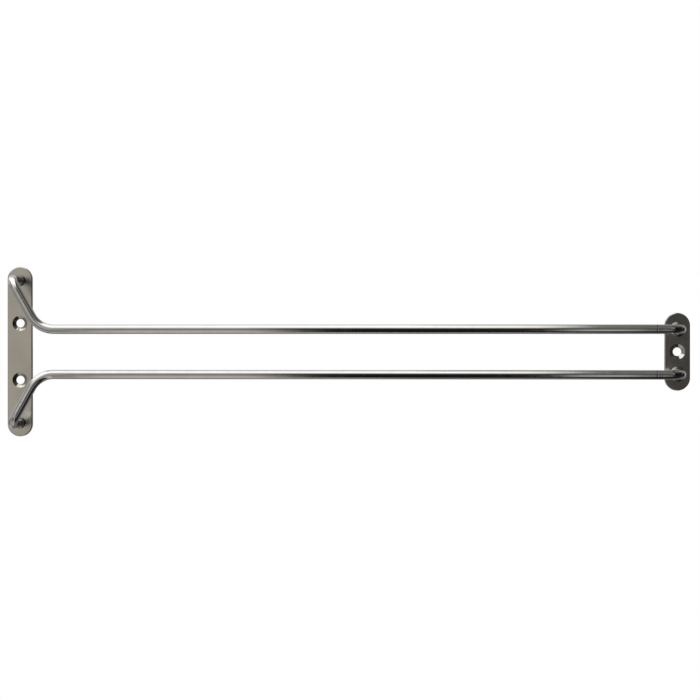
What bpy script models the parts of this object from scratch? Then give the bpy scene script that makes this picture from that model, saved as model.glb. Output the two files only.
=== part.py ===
"""Under-shelf rack that hangs stemmed glasses by their feet.

Two bent round-wire rails are welded to a long front plate and a short rear plate.
The plates are screwed to the underside of a shelf, and the glasses' feet slide in
over the two rails from the front, with the stems hanging down between them.

Metres, +Z up into the shelf, +Y from the front (where glasses go in) to the rear.
The origin is the centre of the front plate's mounting face, so the rack hangs at z < 0.
"""
import math

import bmesh
import bpy
from mathutils import Matrix, Vector

# Driving dimensions
RACK_LENGTH = 0.4064            # front edge of the front plate to the rear edge of the rear plate
RACK_HEIGHT = 0.032             # mounting face to the underside of the rails
PLATE_WIDTH = 0.015             # both plates, along Y; their ends are full half circles
PLATE_THICKNESS = 0.0025
PLATE_EDGE_RADIUS = 0.0006      # rolled edge all round
FRONT_PLATE_LENGTH = 0.1016
REAR_PLATE_LENGTH = 0.046
WIRE_DIAMETER = 0.0055
RAIL_SPACING = 0.0264           # centre to centre, along the parallel stretch
FRONT_POST_SPACING = 0.0852     # centre to centre, where the rails leave the front plate
THROAT_ANGLE = math.radians(60.6)   # the entry run's angle to the rack's long axis
POST_BEND_RADIUS = 0.007        # to the wire's centre line
THROAT_BEND_RADIUS = 0.015
SCREW_HOLE_DIAMETER = 0.005
COUNTERSINK_DIAMETER = 0.009    # at the lower face
COUNTERSINK_ANGLE = math.radians(100)   # across the cone
FRONT_SCREW_SPACING = 0.034
FRONT_WELD_RADIUS = 0.0035      # at the plate
REAR_WELD_RADIUS = 0.0046
WELD_HEIGHT = 0.0022            # down the post from the plate
WELD_LIP = 0.00025              # the bead's thickness where it runs out on the post
GAP = 0.0003                    # left between neighbouring solids

# Worked-out places
WIRE_RADIUS = WIRE_DIAMETER / 2
RAIL_Z = WIRE_RADIUS - RACK_HEIGHT
REAR_Y = RACK_LENGTH - PLATE_WIDTH
RAIL_X = RAIL_SPACING / 2
FRONT_POST_X = FRONT_POST_SPACING / 2
THROAT_Y = (FRONT_POST_X - RAIL_X) / math.tan(THROAT_ANGLE)
POST_HOLE_RADIUS = WIRE_RADIUS + GAP

# Fineness of the curved shapes
BEND_STEPS = 10
END_STEPS = 24
TURN_STEPS = 32
WIRE_BEVEL_RESOLUTION = 8
WELD_PROFILE_STEPS = 6
CUT_OVERRUN = 0.001             # how far a cutter runs past the face it cuts

PLATED_STEEL = (0.50, 0.49, 0.46, 1.0)
DARK_PLATED_STEEL = (0.36, 0.35, 0.33, 1.0)
CHROMED_WIRE = (0.62, 0.62, 0.61, 1.0)
WELD_METAL = (0.40, 0.39, 0.37, 1.0)


def clear_scene():
    for item in list(bpy.data.objects):
        bpy.data.objects.remove(item, do_unlink=True)


def new_collection(name):
    collection = bpy.data.collections.new(name)
    bpy.context.scene.collection.children.link(collection)
    return collection


def metal(name, colour, roughness):
    """A bare or plated metal finish."""
    material = bpy.data.materials.new(name)
    material.use_nodes = True
    shader = material.node_tree.nodes["Principled BSDF"]
    shader.inputs["Base Color"].default_value = colour
    shader.inputs["Metallic"].default_value = 1.0
    shader.inputs["Roughness"].default_value = roughness
    material.diffuse_color = colour
    return material


def poly_spline(curve, points, cyclic=False):
    spline = curve.splines.new("POLY")
    spline.points.add(len(points) - 1)
    for target, point in zip(spline.points, points):
        target.co = (point.x, point.y, point.z, 1.0)
    spline.use_cyclic_u = cyclic


def curve_to_mesh_object(curve_object, collection):
    """Replace a curve object with a closed mesh object of the same name and place."""
    name = curve_object.name
    matrix = curve_object.matrix_world.copy()
    depsgraph = bpy.context.evaluated_depsgraph_get()
    mesh = bpy.data.meshes.new_from_object(curve_object.evaluated_get(depsgraph))
    work = bmesh.new()
    work.from_mesh(mesh)
    bmesh.ops.remove_doubles(work, verts=work.verts, dist=0.000001)
    bmesh.ops.recalc_face_normals(work, faces=work.faces)
    work.to_mesh(mesh)
    work.free()
    bpy.data.objects.remove(curve_object, do_unlink=True)
    mesh_object = bpy.data.objects.new(name, mesh)
    mesh_object.matrix_world = matrix
    collection.objects.link(mesh_object)
    return mesh_object


def turned_object(name, profile, place, closed, collection):
    """Turn a profile of (radius, z) points once round the Z axis through place."""
    mesh = bpy.data.meshes.new(name)
    edges = [(i, i + 1) for i in range(len(profile) - 1)]
    if closed:
        edges.append((len(profile) - 1, 0))
    mesh.from_pydata([(radius, 0.0, z) for radius, z in profile], edges, [])
    turned = bpy.data.objects.new(name, mesh)
    turned.location = place
    collection.objects.link(turned)
    screw = turned.modifiers.new("turn", "SCREW")
    screw.axis = "Z"
    screw.angle = math.tau
    screw.steps = TURN_STEPS
    screw.render_steps = TURN_STEPS
    screw.use_merge_vertices = True
    screw.merge_threshold = 0.00001
    return turned


def as_cutter(cutter):
    cutter.hide_render = True
    cutter.display_type = "WIRE"
    return cutter


def screw_hole_cutter(name, x, y, cutters):
    """A clearance hole that opens into a countersink at the plate's lower face."""
    hole_radius = SCREW_HOLE_DIAMETER / 2
    cone_radius = COUNTERSINK_DIAMETER / 2
    slope = math.tan(COUNTERSINK_ANGLE / 2)
    cone_top = (cone_radius - hole_radius) / slope - PLATE_THICKNESS
    profile = [
        (0.0, CUT_OVERRUN),
        (hole_radius, CUT_OVERRUN),
        (hole_radius, cone_top),
        (cone_radius + CUT_OVERRUN * slope, -PLATE_THICKNESS - CUT_OVERRUN),
        (0.0, -PLATE_THICKNESS - CUT_OVERRUN),
    ]
    return as_cutter(turned_object(name, profile, (x, y, 0.0), False, cutters))


def post_hole_cutter(name, x, y, cutters):
    """The punched hole that a rail's post is seated in."""
    mesh = bpy.data.meshes.new(name)
    work = bmesh.new()
    bmesh.ops.create_cone(
        work, cap_ends=True, segments=TURN_STEPS, radius1=POST_HOLE_RADIUS,
        radius2=POST_HOLE_RADIUS, depth=PLATE_THICKNESS + 2 * CUT_OVERRUN)
    work.to_mesh(mesh)
    work.free()
    cutter = bpy.data.objects.new(name, mesh)
    cutter.location = (x, y, -PLATE_THICKNESS / 2)
    cutters.objects.link(cutter)
    return as_cutter(cutter)


def capsule_outline(length, width):
    """A strip along X with a half circle at each end."""
    radius = width / 2
    end_centre = length / 2 - radius
    points = []
    for centre_x, first_angle in ((end_centre, -math.pi / 2), (-end_centre, math.pi / 2)):
        for step in range(END_STEPS + 1):
            angle = first_angle + math.pi * step / END_STEPS
            points.append(Vector((centre_x + radius * math.cos(angle), radius * math.sin(angle), 0.0)))
    return points


def plate(name, length, y, screw_xs, post_xs, material, parts, cutters):
    curve = bpy.data.curves.new(name, "CURVE")
    curve.dimensions = "2D"
    curve.fill_mode = "BOTH"
    curve.extrude = PLATE_THICKNESS / 2
    poly_spline(curve, capsule_outline(length, PLATE_WIDTH), cyclic=True)
    outline = bpy.data.objects.new(name, curve)
    outline.matrix_world = Matrix.Translation((0.0, y, -PLATE_THICKNESS / 2))
    parts.objects.link(outline)
    bpy.context.view_layer.update()
    strip = curve_to_mesh_object(outline, parts)
    strip.name = name
    strip.data.materials.append(material)

    edge = strip.modifiers.new("rolled_edge", "BEVEL")
    edge.width = PLATE_EDGE_RADIUS
    edge.segments = 2
    edge.limit_method = "ANGLE"
    edge.angle_limit = math.radians(60)

    cuts = [screw_hole_cutter(f"{name}_screw_cut_{i}", x, y, cutters) for i, x in enumerate(screw_xs)]
    cuts += [post_hole_cutter(f"{name}_post_cut_{i}", x, y, cutters) for i, x in enumerate(post_xs)]
    for cutter in cuts:
        cut = strip.modifiers.new(cutter.name, "BOOLEAN")
        cut.operation = "DIFFERENCE"
        cut.solver = "EXACT"
        cut.object = cutter
    return strip


def fillet(before, corner, after, radius):
    """Points of the arc that rounds a corner of a path, from tangent to tangent."""
    into = (corner - before).normalized()
    out_of = (after - corner).normalized()
    turn = into.angle(out_of)
    tangent = radius * math.tan(turn / 2)
    start = corner - into * tangent
    inward = (out_of - into * into.dot(out_of)).normalized()
    points = []
    for step in range(BEND_STEPS + 1):
        angle = turn * step / BEND_STEPS
        points.append(start + into * radius * math.sin(angle) + inward * radius * (1 - math.cos(angle)))
    return points


def rail_path(side):
    """Centre line of one rail: front post, throat run, parallel stretch, rear post."""
    corners = [
        Vector((side * FRONT_POST_X, 0.0, -GAP)),
        Vector((side * FRONT_POST_X, 0.0, RAIL_Z)),
        Vector((side * RAIL_X, THROAT_Y, RAIL_Z)),
        Vector((side * RAIL_X, REAR_Y, RAIL_Z)),
        Vector((side * RAIL_X, REAR_Y, -GAP)),
    ]
    radii = (POST_BEND_RADIUS, THROAT_BEND_RADIUS, POST_BEND_RADIUS)
    points = [corners[0]]
    for i, radius in enumerate(radii, start=1):
        points += fillet(corners[i - 1], corners[i], corners[i + 1], radius)
    points.append(corners[-1])
    return points


def rail(name, side, material, parts):
    curve = bpy.data.curves.new(name, "CURVE")
    curve.dimensions = "3D"
    curve.bevel_depth = WIRE_RADIUS
    curve.bevel_resolution = WIRE_BEVEL_RESOLUTION
    curve.use_fill_caps = True
    poly_spline(curve, rail_path(side))
    wire = bpy.data.objects.new(name, curve)
    wire.data.materials.append(material)
    parts.objects.link(wire)
    return wire


def weld_bead(name, x, y, radius, material, parts):
    """The ring of weld metal round a post, tapering from the plate onto the wire."""
    inner = POST_HOLE_RADIUS
    top = -PLATE_THICKNESS - GAP
    profile = [(inner, top)]
    for step in range(WELD_PROFILE_STEPS + 1):
        share = step / WELD_PROFILE_STEPS
        thickness = WELD_LIP + (radius - inner - WELD_LIP) * (1 - share) ** 1.7
        profile.append((inner + thickness, top - WELD_HEIGHT * share))
    profile.append((inner, top - WELD_HEIGHT))
    bead = turned_object(name, profile, (x, y, 0.0), True, parts)
    bead.data.materials.append(material)
    return bead


def build():
    clear_scene()
    parts = new_collection("hanging_glass_rack")
    cutters = new_collection("cutters")

    plate("front_plate", FRONT_PLATE_LENGTH, 0.0,
          (-FRONT_SCREW_SPACING / 2, FRONT_SCREW_SPACING / 2), (-FRONT_POST_X, FRONT_POST_X),
          metal("front_plate_steel", PLATED_STEEL, 0.35), parts, cutters)
    plate("rear_plate", REAR_PLATE_LENGTH, REAR_Y, (0.0,), (-RAIL_X, RAIL_X),
          metal("rear_plate_steel", DARK_PLATED_STEEL, 0.3), parts, cutters)

    for side_name, side in (("right", 1), ("left", -1)):
        rail(f"{side_name}_rail", side, metal(f"{side_name}_rail_chrome", CHROMED_WIRE, 0.12), parts)
        weld_bead(f"front_{side_name}_weld", side * FRONT_POST_X, 0.0, FRONT_WELD_RADIUS,
                  metal(f"front_{side_name}_weld_metal", WELD_METAL, 0.35), parts)
        weld_bead(f"rear_{side_name}_weld", side * RAIL_X, REAR_Y, REAR_WELD_RADIUS,
                  metal(f"rear_{side_name}_weld_metal", WELD_METAL, 0.35), parts)


build()
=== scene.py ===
"""Looks of the under-shelf hanging glass rack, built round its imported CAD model.

Metres, in the CAD frame: +Z up into the shelf, +Y from the entry to the rear, origin at the
centre of the front plate's mounting face. Every CAD node is replaced by a finer mesh of the
same size in the same place: smooth bent wire with its bending marks, strip plates with
rolled edges and countersinks, and uneven weld beads.
"""
import math

import bmesh
import bpy
from mathutils import Matrix, Vector, noise


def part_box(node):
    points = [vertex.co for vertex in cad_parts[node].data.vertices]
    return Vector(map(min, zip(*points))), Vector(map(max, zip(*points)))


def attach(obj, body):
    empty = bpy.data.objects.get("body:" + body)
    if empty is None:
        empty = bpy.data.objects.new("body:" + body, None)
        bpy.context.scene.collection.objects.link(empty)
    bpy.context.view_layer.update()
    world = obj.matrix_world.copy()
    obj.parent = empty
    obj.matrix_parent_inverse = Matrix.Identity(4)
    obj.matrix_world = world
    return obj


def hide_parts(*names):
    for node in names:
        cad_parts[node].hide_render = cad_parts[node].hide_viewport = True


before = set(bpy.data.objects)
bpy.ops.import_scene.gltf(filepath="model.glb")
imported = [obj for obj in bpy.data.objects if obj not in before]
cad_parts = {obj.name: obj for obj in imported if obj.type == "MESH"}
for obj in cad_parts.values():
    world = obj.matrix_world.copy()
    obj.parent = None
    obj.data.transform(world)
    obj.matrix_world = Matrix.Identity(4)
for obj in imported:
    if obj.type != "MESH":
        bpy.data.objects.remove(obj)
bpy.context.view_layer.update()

# ---------------------------------------------------------------- places read from the CAD
FRONT_LO, FRONT_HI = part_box("front_plate")
REAR_LO, REAR_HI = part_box("rear_plate")
RAIL_LO, RAIL_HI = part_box("right_rail")
FRONT_BEAD_LO, FRONT_BEAD_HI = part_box("front_right_weld")
REAR_BEAD_LO, REAR_BEAD_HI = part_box("rear_right_weld")

FRONT_Y = (FRONT_LO.y + FRONT_HI.y) / 2
REAR_Y = (REAR_LO.y + REAR_HI.y) / 2
WIRE_RADIUS = RAIL_HI.y - REAR_Y
RAIL_X = RAIL_LO.x + WIRE_RADIUS
POST_X = RAIL_HI.x - WIRE_RADIUS
RAIL_Z = RAIL_LO.z + WIRE_RADIUS
POST_TOP_Z = RAIL_HI.z
PLATE_FACE_Z = FRONT_LO.z

# ---------------------------------------------------------------- sizes the boxes don't give
THROAT_ANGLE = math.radians(60.6)
POST_BEND_RADIUS = 0.007
THROAT_BEND_RADIUS = 0.015
THROAT_Y = FRONT_Y + (POST_X - RAIL_X) / math.tan(THROAT_ANGLE)
POST_HOLE_CLEARANCE = 0.0003
POST_HOLE_RADIUS = WIRE_RADIUS + POST_HOLE_CLEARANCE
SCREW_HOLE_RADIUS = 0.0025
COUNTERSINK_RADIUS = 0.0045
COUNTERSINK_ANGLE = math.radians(100)
FRONT_SCREW_X = 0.017
PLATE_EDGE_RADIUS = 0.0006
HOLE_EDGE_RADIUS = 0.00012
CUTTER_OVERRUN = 0.001
WIRE_END_CHAMFER = 0.0004
WIRE_WAVE_DEPTH = 0.000008
WIRE_WAVES_ALONG = 40
WIRE_WAVES_AROUND = 0.4
BEAD_CLEARANCE = 0.0001
BEAD_RIM = 0.0001
BEAD_RIPPLE = 0.00005
BEAD_RIPPLE_SCALE = 7.0
BEAD_LUMP_SCALE = 2.2
BEAD_TIP_ROUNDING = 0.07

# how far a bead reaches out and down, as shares of its CAD size, and by how much that varies
BEAD_REACH = 0.965
BEAD_REACH_VARIES = 0.03
BEAD_DROP = 0.86
BEAD_DROP_VARIES = 0.12

# marks that the bending tool left on the wire, beyond the bend at each post
FRONT_MARK_FROM_BEND = 0.0068
FRONT_MARK_DEPTH = 0.00004
FRONT_MARK_WIDTH = 0.0005
REAR_MARK_FROM_BEND = 0.0078
REAR_MARK_DEPTH = 0.00003
REAR_MARK_WIDTH = 0.0003
REAR_MARK_ALL_ROUND = 0.35
REAR_MARK_Y = REAR_Y - POST_BEND_RADIUS - REAR_MARK_FROM_BEND
GRIP_LENGTH = 0.006
GRIP_DEPTH = 0.00002
# the wire's colour is painted near black within the first distance of the rear bending mark, fading out by
# the second: a painted dark reflection line, and that stretch is made rougher too
PAINTED_DARK_REFLECTION_WITHIN = 0.00008
PAINTED_DARK_REFLECTION_GONE_BEYOND = 0.00035

# ---------------------------------------------------------------- fineness
WIRE_SIDES = 48
BEND_STEPS = 28
STRAIGHT_STEP = 0.0015
MARK_STEP = 0.00025
MARK_REACH = 0.003
TURN_STEPS = 96
END_STEPS = 48
BEAD_STEPS = 96
BEAD_PROFILE_STEPS = 14

# ================================================================ shader graphs


class Graph:
    """Short calls for building a shader node graph. A value can be a number, a colour or a socket."""

    def __init__(self, tree):
        self.tree = tree
        tree.nodes.clear()

    def node(self, kind, values=None, **settings):
        made = self.tree.nodes.new(kind)
        for key, value in settings.items():
            setattr(made, key, value)
        for key, value in (values or {}).items():
            self.put(made.inputs[key], value)
        return made

    def put(self, socket, value):
        if isinstance(value, bpy.types.NodeSocket):
            self.tree.links.new(value, socket)
        else:
            socket.default_value = value

    def math(self, operation, *values):
        return self.node("ShaderNodeMath", dict(enumerate(values)), operation=operation).outputs[0]

    def ramp(self, value, low, high, out_low=0.0, out_high=1.0):
        """Maps low..high smoothly to out_low..out_high, held at both ends."""
        made = self.node(
            "ShaderNodeMapRange",
            {"Value": value, "From Min": low, "From Max": high, "To Min": out_low, "To Max": out_high},
            interpolation_type="SMOOTHSTEP")
        return made.outputs["Result"]

    def band(self, value, low, high, softness):
        """1 from low to high and 0 outside, with soft edges."""
        rise = self.ramp(value, low - softness, low + softness)
        return self.math("MULTIPLY", rise, self.ramp(value, high - softness, high + softness, 1.0, 0.0))

    def mix(self, share, first, second):
        """Mixes two colours. They are the node's sockets 6 and 7, and the result is its output 2."""
        return self.node("ShaderNodeMix", {0: share, 6: first, 7: second}, data_type="RGBA").outputs[2]

    def place(self):
        """Object coordinates, in metres."""
        return self.node("ShaderNodeTexCoord").outputs["Object"]

    def noise(self, scale, detail=3.0, roughness=0.5):
        """Noise of the same scale along every axis."""
        return self.noise_at(self.place(), scale, detail, roughness)

    def streaks(self, scales, detail=3.0, roughness=0.5):
        """Noise with its own scale along each axis."""
        place = self.node("ShaderNodeVectorMath", {0: self.place(), 1: scales}, operation="MULTIPLY")
        return self.noise_at(place.outputs[0], 1.0, detail, roughness)

    def noise_at(self, place, scale, detail, roughness):
        made = self.node("ShaderNodeTexNoise",
                         {"Vector": place, "Scale": scale, "Detail": detail, "Roughness": roughness})
        return made.outputs["Fac"]

    def blend(self, first, second, share):
        """first and second added in the shares 1 - share and share."""
        first_part = self.math("MULTIPLY", first, 1 - share)
        return self.math("ADD", first_part, self.math("MULTIPLY", second, share))

    def bump(self, height, strength, distance, normal=None):
        values = {"Height": height, "Strength": strength, "Distance": distance}
        if normal is not None:
            values["Normal"] = normal
        return self.node("ShaderNodeBump", values).outputs["Normal"]


METAL = {"Metallic": 1.0}


def principled(name, values):
    """A material with one surface shader, its graph and that shader."""
    material = bpy.data.materials.new(name)
    material.use_nodes = True
    graph = Graph(material.node_tree)
    shader = graph.node("ShaderNodeBsdfPrincipled", values)
    output = graph.node("ShaderNodeOutputMaterial")
    graph.put(output.inputs["Surface"], shader.outputs["BSDF"])
    return material, graph, shader


def chrome_wire():
    """Bright plating over drawn wire, with faint draw lines, light clouding and a painted dark reflection
    line at the rear bending mark.
    """
    material, graph, shader = principled("chrome_wire", METAL)
    clouds = graph.noise(160.0, 4.0, 0.6)
    lines = graph.streaks((2600.0, 30.0, 2600.0), 2.0)
    long_wave = graph.streaks((120.0, 22.0, 120.0), 1.0)
    colour = graph.mix(graph.ramp(clouds, 0.3, 0.7), (0.66, 0.655, 0.645, 1), (0.71, 0.71, 0.71, 1))
    along = graph.node("ShaderNodeSeparateXYZ", {0: graph.place()}).outputs["Y"]
    from_mark = graph.math("ABSOLUTE", graph.math("SUBTRACT", along, REAR_MARK_Y))
    # painted dark reflection: the colour goes near black across the rear bending mark, and the roughness
    # rises there as well
    painted_dark_reflection = graph.ramp(from_mark, PAINTED_DARK_REFLECTION_WITHIN, PAINTED_DARK_REFLECTION_GONE_BEYOND, 1.0, 0.0)
    graph.put(shader.inputs["Base Color"], graph.mix(painted_dark_reflection, colour, (0.10, 0.10, 0.10, 1)))
    sheen = graph.blend(lines, clouds, 0.7)
    rough = graph.math("ADD", graph.ramp(sheen, 0.3, 0.7, 0.07, 0.11), graph.math("MULTIPLY", painted_dark_reflection, 0.15))
    graph.put(shader.inputs["Roughness"], rough)
    graph.put(shader.inputs["Normal"], graph.bump(long_wave, 0.02, 0.0010))
    return material


def satin_plate(name, light, dark, roughness):
    """Plated strip with its rolling grain along X, mottled a little, duller where it was handled."""
    material, graph, shader = principled(name, METAL)
    grain = graph.streaks((60.0, 2400.0, 2400.0), 3.0, 0.6)
    mottle = graph.noise(210.0, 5.0, 0.62)
    patches = graph.noise(45.0, 2.0)
    shade = graph.blend(grain, mottle, 0.65)
    graph.put(shader.inputs["Base Color"], graph.mix(graph.ramp(shade, 0.32, 0.68), dark, light))
    rough = graph.math("ADD", graph.ramp(mottle, 0.3, 0.7, -0.03, 0.03),
                       graph.ramp(patches, 0.3, 0.7, roughness - 0.03, roughness + 0.04))
    graph.put(shader.inputs["Roughness"], rough)
    normal = graph.bump(patches, 0.02, 0.001)
    graph.put(shader.inputs["Normal"], graph.bump(grain, 0.012, 0.00005, normal))
    return material


def weld_metal_painted_dark():
    """Plating over the rough skin of a weld bead, its colour set far darker than the wire's plating:
    painted shade for the dark collars round the posts.
    """
    material, graph, shader = principled("weld_metal_painted_dark", METAL)
    skin = graph.noise(700.0, 4.0, 0.55)
    # painted shade: the bead's colour is held far below the wire's chrome so the collars round the posts
    # read dark
    colour = graph.mix(graph.ramp(skin, 0.35, 0.65), (0.20, 0.195, 0.185, 1), (0.32, 0.315, 0.30, 1))
    graph.put(shader.inputs["Base Color"], colour)
    graph.put(shader.inputs["Roughness"], graph.ramp(skin, 0.3, 0.7, 0.20, 0.34))
    graph.put(shader.inputs["Normal"], graph.bump(skin, 0.07, 0.0001))
    return material


# ================================================================ meshes


def finished_mesh(name, work):
    """The mesh of a bmesh, with its faces turned outward."""
    bmesh.ops.recalc_face_normals(work, faces=work.faces)
    mesh = bpy.data.meshes.new(name)
    work.to_mesh(mesh)
    work.free()
    return mesh


def smooth_above(mesh, degrees):
    """Shades a mesh smooth, with the edges sharper than the angle left sharp."""
    mesh.shade_smooth()
    mesh.set_sharp_from_angle(angle=math.radians(degrees))


def place_object(name, data):
    made = bpy.data.objects.new(name, data)
    bpy.context.scene.collection.objects.link(made)
    return made


def add_piece(name, mesh, node, material):
    piece = place_object(name, mesh)
    mesh.materials.append(material)
    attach(piece, "root")
    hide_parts(node)


def fillet(before, corner, after, radius):
    """Points of the arc that rounds a corner of a path, from tangent to tangent."""
    into = (corner - before).normalized()
    out_of = (after - corner).normalized()
    turn = into.angle(out_of)
    start = corner - into * radius * math.tan(turn / 2)
    inward = (out_of - into * into.dot(out_of)).normalized()
    points = []
    for step in range(BEND_STEPS + 1):
        angle = turn * step / BEND_STEPS
        points.append(start + into * radius * math.sin(angle) + inward * radius * (1 - math.cos(angle)))
    return points


def rail_path(side):
    """Centre line of one rail: front post, throat run, parallel stretch, rear post."""
    corners = [
        Vector((side * POST_X, FRONT_Y, POST_TOP_Z)),
        Vector((side * POST_X, FRONT_Y, RAIL_Z)),
        Vector((side * RAIL_X, THROAT_Y, RAIL_Z)),
        Vector((side * RAIL_X, REAR_Y, RAIL_Z)),
        Vector((side * RAIL_X, REAR_Y, POST_TOP_Z)),
    ]
    radii = (POST_BEND_RADIUS, THROAT_BEND_RADIUS, POST_BEND_RADIUS)
    points = [corners[0]]
    for i, radius in enumerate(radii, start=1):
        points += fillet(corners[i - 1], corners[i], corners[i + 1], radius)
    points.append(corners[-1])
    return points


def fine_path(points, marks):
    """Adds points along the straights, and one where each chamfer starts.

    The points are closer together near the marks, which are distances along the path.
    """
    fine = [points[0]]
    travelled = 0.0
    for a, b in zip(points, points[1:]):
        length = (b - a).length
        at = 0.0
        while True:
            near = any(abs(travelled + at - mark) < MARK_REACH for mark in marks)
            at += MARK_STEP if near else STRAIGHT_STEP
            if at > length - MARK_STEP:
                break
            fine.append(a.lerp(b, at / length))
        fine.append(b)
        travelled += length
    fine.insert(1, fine[0] + (fine[1] - fine[0]).normalized() * WIRE_END_CHAMFER)
    fine.insert(-1, fine[-1] + (fine[-2] - fine[-1]).normalized() * WIRE_END_CHAMFER)
    return fine


def path_length(points):
    return sum((b - a).length for a, b in zip(points, points[1:]))


def swept_bar(name, points, outer, radius_at):
    """A round bar along a path. outer is its first outward side, carried along without twist.

    radius_at(distance, angle) gives the radius, with angle 0 on the outward side.
    """
    work = bmesh.new()
    rings = []
    distance = 0.0
    side_vector = outer.normalized()
    for i, point in enumerate(points):
        before = points[max(i - 1, 0)]
        after = points[min(i + 1, len(points) - 1)]
        tangent = (after - before).normalized()
        if i:
            distance += (point - points[i - 1]).length
        side_vector = (side_vector - tangent * side_vector.dot(tangent)).normalized()
        across = tangent.cross(side_vector)
        ring = []
        for step in range(WIRE_SIDES):
            angle = math.tau * step / WIRE_SIDES
            direction = side_vector * math.cos(angle) + across * math.sin(angle)
            ring.append(work.verts.new(point + direction * radius_at(distance, angle)))
        rings.append(ring)
    for ring, following in zip(rings, rings[1:]):
        for step in range(WIRE_SIDES):
            ahead = (step + 1) % WIRE_SIDES
            work.faces.new((ring[step], ring[ahead], following[ahead], following[step]))
    work.faces.new(list(reversed(rings[0])))
    work.faces.new(rings[-1])
    mesh = finished_mesh(name, work)
    smooth_above(mesh, 50)
    return mesh


def rail_radius(front_mark, rear_mark, length, seed):
    """The wire's radius: round, with a nick and a flat where the bending tool gripped it, and chamfers."""

    def dent(distance, centre, width):
        return math.exp(-((distance - centre) / width) ** 2)

    def radius_at(distance, angle):
        facing = max(0.0, math.cos(angle)) ** 2
        ringed = REAR_MARK_ALL_ROUND + (1 - REAR_MARK_ALL_ROUND) * facing
        radius = WIRE_RADIUS
        radius -= FRONT_MARK_DEPTH * dent(distance, front_mark, FRONT_MARK_WIDTH) * facing
        radius -= REAR_MARK_DEPTH * dent(distance, rear_mark, REAR_MARK_WIDTH) * ringed
        for start in (front_mark - GRIP_LENGTH, rear_mark):
            if start < distance < start + GRIP_LENGTH:
                radius -= GRIP_DEPTH * math.sin(math.pi * (distance - start) / GRIP_LENGTH) * facing
        wave = noise.noise(Vector((distance * WIRE_WAVES_ALONG, math.cos(angle) * WIRE_WAVES_AROUND, seed)))
        radius -= WIRE_WAVE_DEPTH * (0.5 + 0.5 * wave)
        to_end = min(distance, length - distance)
        return radius - max(0.0, WIRE_END_CHAMFER - to_end)

    return radius_at


def rail(side_name, side, material):
    points = rail_path(side)
    # from the throat back to the front post, which is the outward side of that post
    outer = Vector((side * (POST_X - RAIL_X), FRONT_Y - THROAT_Y, 0.0))
    to_bend_end = POST_TOP_Z - RAIL_Z - POST_BEND_RADIUS + POST_BEND_RADIUS * math.pi / 2
    length = path_length(points)
    front_mark = to_bend_end + FRONT_MARK_FROM_BEND
    rear_mark = length - to_bend_end - REAR_MARK_FROM_BEND
    fine = fine_path(points, (front_mark, rear_mark))
    name = f"{side_name}_rail_wire"
    mesh = swept_bar(name, fine, outer, rail_radius(front_mark, rear_mark, length, 3.0 + side))
    add_piece(name, mesh, f"{side_name}_rail", material)


def turned_mesh(name, profile):
    """Turns a profile of (radius, z) points once round Z; its first and last points are on the axis."""
    work = bmesh.new()
    rings = []
    for radius, z in profile:
        if radius == 0.0:
            rings.append([work.verts.new((0.0, 0.0, z))] * TURN_STEPS)
            continue
        rings.append([
            work.verts.new((radius * math.cos(math.tau * i / TURN_STEPS),
                            radius * math.sin(math.tau * i / TURN_STEPS), z))
            for i in range(TURN_STEPS)])
    for ring, following in zip(rings, rings[1:]):
        for i in range(TURN_STEPS):
            ahead = (i + 1) % TURN_STEPS
            corners = [ring[i], ring[ahead], following[ahead], following[i]]
            work.faces.new([v for k, v in enumerate(corners) if v not in corners[:k]])
    return finished_mesh(name, work)


def capsule_outline(length, width):
    radius = width / 2
    end_centre = length / 2 - radius
    points = []
    for centre_x, first_angle in ((end_centre, -math.pi / 2), (-end_centre, math.pi / 2)):
        for step in range(END_STEPS + 1):
            angle = first_angle + math.pi * step / END_STEPS
            points.append((centre_x + radius * math.cos(angle), radius * math.sin(angle)))
    return points


def strip_mesh(name, lo, hi):
    """A flat strip with half-round ends that fills the box from lo to hi."""
    work = bmesh.new()
    centre_y = (lo.y + hi.y) / 2
    outline = capsule_outline(hi.x - lo.x, hi.y - lo.y)
    bottom = [work.verts.new((x, centre_y + y, lo.z)) for x, y in outline]
    top = [work.verts.new((x, centre_y + y, hi.z)) for x, y in outline]
    count = len(outline)
    for i in range(count):
        ahead = (i + 1) % count
        work.faces.new((bottom[i], bottom[ahead], top[ahead], top[i]))
    work.faces.new(list(reversed(bottom)))
    work.faces.new(top)
    return finished_mesh(name, work)


def round_edges(part, name, width, segments, degrees):
    """Rounds every edge of a part that turns by more than the angle."""
    rounding = part.modifiers.new(name, "BEVEL")
    rounding.width = width
    rounding.segments = segments
    rounding.limit_method = "ANGLE"
    rounding.angle_limit = math.radians(degrees)


def screw_hole_profile():
    """Radius and z of the tool that cuts a countersunk screw hole from below."""
    below = PLATE_FACE_Z - CUTTER_OVERRUN
    slope = math.tan(COUNTERSINK_ANGLE / 2)
    cone_top = PLATE_FACE_Z + (COUNTERSINK_RADIUS - SCREW_HOLE_RADIUS) / slope
    return [(0.0, CUTTER_OVERRUN), (SCREW_HOLE_RADIUS, CUTTER_OVERRUN), (SCREW_HOLE_RADIUS, cone_top),
            (COUNTERSINK_RADIUS + CUTTER_OVERRUN * slope, below), (0.0, below)]


def post_hole_profile():
    below = PLATE_FACE_Z - CUTTER_OVERRUN
    return [(0.0, CUTTER_OVERRUN), (POST_HOLE_RADIUS, CUTTER_OVERRUN),
            (POST_HOLE_RADIUS, below), (0.0, below)]


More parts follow.
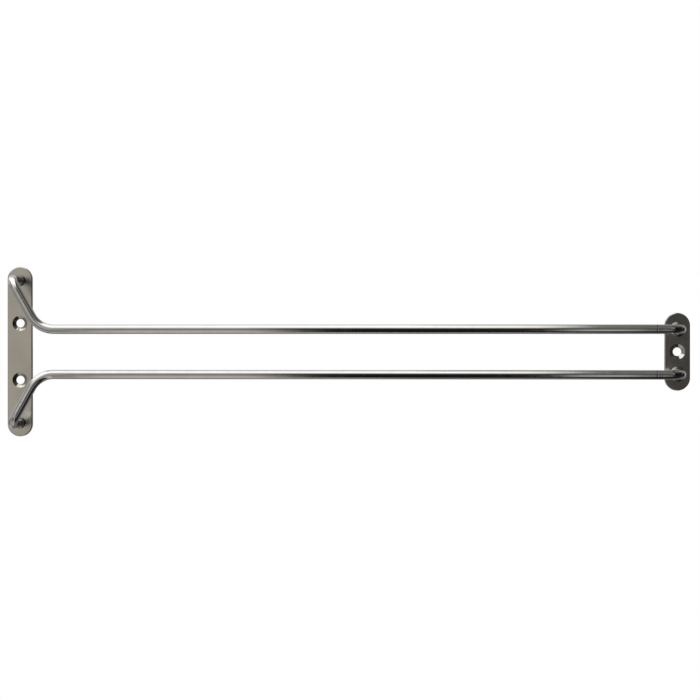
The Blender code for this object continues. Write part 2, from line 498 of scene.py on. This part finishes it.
def plate(name, node, lo, hi, screw_xs, post_xs, material):
    """A strip with rolled edges, its screw holes and post holes cut through it."""
    y = (lo.y + hi.y) / 2
    blank = place_object(f"{name}_blank", strip_mesh(name, lo, hi))
    round_edges(blank, "rolled_edge", PLATE_EDGE_RADIUS, 5, 60)
    cutters = []
    for profile, xs in ((screw_hole_profile(), screw_xs), (post_hole_profile(), post_xs)):
        for x in xs:
            cutter = place_object(f"{name}_cut", turned_mesh(f"{name}_cut", profile))
            cutter.location = (x, y, 0.0)
            cut = blank.modifiers.new("cut", "BOOLEAN")
            cut.operation = "DIFFERENCE"
            cut.solver = "EXACT"
            cut.object = cutter
            cutters.append(cutter)
    round_edges(blank, "hole_edge", HOLE_EDGE_RADIUS, 3, 35)
    weighted = blank.modifiers.new("weighted", "WEIGHTED_NORMAL")
    weighted.keep_sharp = True
    weighted.weight = 90
    blank.data.shade_smooth()
    bpy.context.view_layer.update()
    depsgraph = bpy.context.evaluated_depsgraph_get()
    mesh = bpy.data.meshes.new_from_object(blank.evaluated_get(depsgraph))
    for done in [*cutters, blank]:
        bpy.data.objects.remove(done, do_unlink=True)
    mesh.name = name
    add_piece(name, mesh, node, material)


def bead(name, node, x, y, lo, hi, seed, material):
    """The uneven fillet of weld metal round the post at x, y, from the plate down onto the wire."""
    radius = (hi.x - lo.x) / 2
    inner = WIRE_RADIUS + BEAD_CLEARANCE
    top, height = hi.z, hi.z - lo.z
    work = bmesh.new()
    rings = []
    for step in range(BEAD_STEPS):
        angle = math.tau * step / BEAD_STEPS
        around = Vector((math.cos(angle), math.sin(angle), seed))
        lump = noise.noise(around * BEAD_LUMP_SCALE)
        ripple = noise.noise(around * BEAD_RIPPLE_SCALE)
        reach = radius * (BEAD_REACH + BEAD_REACH_VARIES * lump)
        drop = height * (BEAD_DROP + BEAD_DROP_VARIES * lump)
        profile = [(inner, top), (reach - BEAD_RIM, top)]
        for k in range(BEAD_PROFILE_STEPS + 1):
            share = k / BEAD_PROFILE_STEPS
            hollow = (1 - BEAD_TIP_ROUNDING) * (1 - share) ** 1.5
            rounded = BEAD_TIP_ROUNDING * math.sqrt(1 - share * share)
            thickness = (reach - inner) * (hollow + rounded)
            thickness += BEAD_RIPPLE * ripple * math.sin(math.pi * share)
            profile.append((inner + max(0.0, thickness), top - BEAD_RIM - (drop - BEAD_RIM) * share))
        ring = [work.verts.new((x + r * math.cos(angle), y + r * math.sin(angle), z)) for r, z in profile]
        rings.append(ring)
    for ring, following in zip(rings, rings[1:] + rings[:1]):
        for k in range(len(ring)):
            ahead = (k + 1) % len(ring)
            work.faces.new((ring[k], following[k], following[ahead], ring[ahead]))
    mesh = finished_mesh(name, work)
    smooth_above(mesh, 60)
    add_piece(name, mesh, node, material)


# ================================================================ studio


# A closed light tent round the rack, which only its reflections see. Soft-edged cards are painted
# on its inside, each over the ones before. around is the angle about the rack's long axis in
# degrees, 0 straight down and 90 towards +X, and along is the place on Y in metres. A softness is
# half the width of a card's blurred edge. The tint multiplies the brightness.
TENT_HALF_SIZE = Vector((1.2, 2.2, 1.2))
TENT_CENTRE_Y = 0.25
TENT_GREY = 0.33
PLAIN = (1.0, 1.0, 1.0)
WARM = (1.06, 1.0, 0.92)
CREAM = (1.04, 1.01, 0.90)
ROSE = (1.08, 0.98, 0.95)
TENT_CARDS = [
    # around from, to, softness, along from, to, softness, brightness, tint
    # overhead, +X side
    (108, 190, 12, -3.0, 3.0, 0.10, 0.60, PLAIN),
    (95, 190, 12, -1.25, -0.55, 0.12, 1.25, PLAIN),
    (140, 190, 10, -1.45, -0.40, 0.10, 0.50, PLAIN),
    (100, 190, 12, 0.24, 0.60, 0.08, 0.28, PLAIN),
    (100, 190, 12, 0.60, 3.0, 0.08, 0.27, PLAIN),
    # overhead, -X side
    (-190, -100, 10, -3.0, -0.95, 0.10, 0.24, PLAIN),
    (-190, -100, 10, -0.95, -0.22, 0.06, 0.42, PLAIN),
    (-190, -100, 10, -0.22, 3.0, 0.06, 0.17, PLAIN),
    # a strip straight overhead, beyond the middle of the rack
    (162, 190, 6, 0.60, 3.0, 0.10, 0.36, PLAIN),
    (-190, -162, 6, 0.60, 3.0, 0.10, 0.36, PLAIN),
    # a dark end wall beyond the rear
    (100, 190, 12, 1.70, 3.0, 0.10, 0.02, PLAIN),
    (-190, -100, 10, 1.70, 3.0, 0.10, 0.02, PLAIN),
    # below, -X side, towards the entry
    (-100, -62, 10, -1.15, -0.22, 0.08, 0.42, PLAIN),
    (-55, -26, 10, -1.30, -0.13, 0.05, 0.19, WARM),
    (-108, -20, 14, -0.16, 0.20, 0.04, 0.53, WARM),
    (-22, 10, 8, -1.35, -0.19, 0.06, 0.47, WARM),
    (-20, 8, 10, -0.19, 0.20, 0.03, 0.22, WARM),
    (8, 50, 10, -0.40, 0.20, 0.06, 0.42, WARM),
    (-9, 9, 3, -0.30, -0.19, 0.02, 0.54, WARM),
    # the dark stretch straight below
    (-84, 60, 14, 0.07, 3.0, 0.05, 0.010, PLAIN),
    (4, 60, 10, 0.07, 3.0, 0.05, 0.06, WARM),
    # the bright side
    (25, 60, 13, -0.40, 0.39, 0.05, 0.64, WARM),
    (12, 60, 12, -0.90, -0.42, 0.10, 1.10, WARM),
    (43, 110, 18, -1.20, 3.0, 0.12, 1.60, PLAIN),
    (78, 110, 10, 0.24, 0.41, 0.03, 1.00, ROSE),
    (40, 70, 12, 0.33, 0.41, 0.02, 1.25, CREAM),
    # towards the rear
    (22, 115, 14, 0.40, 3.0, 0.045, 0.17, WARM),
    (46, 120, 10, 0.60, 3.0, 0.12, 0.17, WARM),
    (50, 82, 8, 0.60, 3.0, 0.12, 0.08, WARM),
    (10, 46, 8, 0.56, 1.00, 0.04, 0.24, WARM),
    (-14, 30, 8, 0.40, 0.50, 0.02, 0.14, WARM),
    (-16, 12, 8, 0.50, 3.0, 0.03, 0.08, WARM),
    (-48, -10, 12, 0.40, 0.49, 0.02, 0.52, PLAIN),
    (-42, -16, 8, 0.49, 0.75, 0.03, 0.20, PLAIN),
    (-42, -16, 8, 0.75, 3.0, 0.10, 0.06, PLAIN),
    (-112, -50, 10, 0.44, 3.0, 0.06, 0.02, PLAIN),
    (-60, 60, 10, 1.05, 3.0, 0.12, 0.010, PLAIN),
    (55, 112, 10, 1.50, 3.0, 0.10, 0.02, PLAIN),
]

FLOOR_Z = -1.5
FLOOR_HALF_SIZE = 30.0

# metres, and millimetres for the lens and the sensor
CAMERA_PLACE = Vector((0.0075, 0.2477, -1.2130))
CAMERA_AIM = Vector((0.0010, 0.1978, PLATE_FACE_Z))
CAMERA_LENS = 104.77
CAMERA_SENSOR = 36.0


def tent_material():
    material = bpy.data.materials.new("light_tent")
    material.use_nodes = True
    graph = Graph(material.node_tree)
    parts = graph.node("ShaderNodeSeparateXYZ", {0: graph.place()}).outputs
    down = graph.math("MULTIPLY", parts["Z"], -1.0)
    around = graph.math("DEGREES", graph.math("ARCTAN2", parts["X"], down))
    along = parts["Y"]
    light = (TENT_GREY, TENT_GREY, TENT_GREY, 1.0)
    for *around_card, along_from, along_to, along_soft, brightness, tint in TENT_CARDS:
        mask = graph.math("MULTIPLY", graph.band(around, *around_card),
                          graph.band(along, along_from, along_to, along_soft))
        light = graph.mix(mask, light, (*(brightness * part for part in tint), 1.0))
    shader = graph.node("ShaderNodeEmission", {"Color": light, "Strength": 1.0})
    output = graph.node("ShaderNodeOutputMaterial")
    graph.put(output.inputs["Surface"], shader.outputs[0])
    return material


def light_tent():
    work = bmesh.new()
    bmesh.ops.create_uvsphere(work, u_segments=96, v_segments=64, radius=1.0)
    for vertex in work.verts:
        vertex.co = vertex.co * TENT_HALF_SIZE + Vector((0.0, TENT_CENTRE_Y, 0.0))
    mesh = finished_mesh("light_tent", work)
    mesh.materials.append(tent_material())
    tent = place_object("light_tent", mesh)
    tent.visible_camera = False
    tent.visible_diffuse = False
    tent.visible_shadow = False


def white_world():
    world = bpy.data.worlds.new("studio")
    bpy.context.scene.world = world
    world.use_nodes = True
    graph = Graph(world.node_tree)
    white = graph.node("ShaderNodeBackground", {"Color": (1.0, 1.0, 1.0, 1.0), "Strength": 1.0})
    output = graph.node("ShaderNodeOutputWorld")
    graph.put(output.inputs["Surface"], white.outputs[0])


def pale_floor():
    work = bmesh.new()
    bmesh.ops.create_grid(work, x_segments=1, y_segments=1, size=FLOOR_HALF_SIZE)
    mesh = finished_mesh("floor", work)
    floor = place_object("floor", mesh)
    floor.location = (0.0, REAR_Y / 2, FLOOR_Z)
    material, graph, shader = principled("pale_floor", {"Roughness": 0.8})
    colour = graph.mix(graph.noise(3.0), (0.86, 0.86, 0.86, 1), (0.9, 0.9, 0.9, 1))
    graph.put(shader.inputs["Base Color"], colour)
    mesh.materials.append(material)
    floor.visible_glossy = False


def camera_below():
    """Below the rack, looking up at it, with the rear end to the right."""
    data = bpy.data.cameras.new("camera")
    data.sensor_width = CAMERA_SENSOR
    data.lens = CAMERA_LENS
    data.clip_start = 0.05
    data.clip_end = 100.0
    forward = (CAMERA_AIM - CAMERA_PLACE).normalized()
    up = Vector((1.0, 0.0, 0.0))
    up = (up - forward * up.dot(forward)).normalized()
    right = forward.cross(up)
    turn = Matrix((right, up, -forward)).transposed().to_4x4()
    camera = place_object("camera", data)
    camera.matrix_world = Matrix.Translation(CAMERA_PLACE) @ turn
    bpy.context.scene.camera = camera


# ================================================================ the scene

camera_below()
white_world()
light_tent()
pale_floor()
bpy.context.scene.view_settings.view_transform = "Standard"

SIDES = (("right", 1), ("left", -1))
wire = chrome_wire()
weld = weld_metal_painted_dark()
front_satin = satin_plate("front_plate_satin", (0.64, 0.62, 0.565, 1), (0.58, 0.56, 0.51, 1), 0.17)
# the rear plate's plating colours are set a little darker than the front plate's: painted shade for the
# darker light at the rear end
rear_satin_painted_darker = satin_plate("rear_plate_satin_painted_darker", (0.60, 0.585, 0.55, 1), (0.52, 0.505, 0.475, 1), 0.13)
for side_name, side in SIDES:
    rail(side_name, side, wire)
plate("front_plate_strip", "front_plate", FRONT_LO, FRONT_HI,
      (-FRONT_SCREW_X, FRONT_SCREW_X), (-POST_X, POST_X), front_satin)
plate("rear_plate_strip", "rear_plate", REAR_LO, REAR_HI, (0.0,), (-RAIL_X, RAIL_X), rear_satin_painted_darker)
for side_name, side in SIDES:
    bead(f"front_{side_name}_bead", f"front_{side_name}_weld", side * POST_X, FRONT_Y,
         FRONT_BEAD_LO, FRONT_BEAD_HI, 1.0 + side, weld)
    bead(f"rear_{side_name}_bead", f"rear_{side_name}_weld", side * RAIL_X, REAR_Y,
         REAR_BEAD_LO, REAR_BEAD_HI, 5.0 + side, weld)
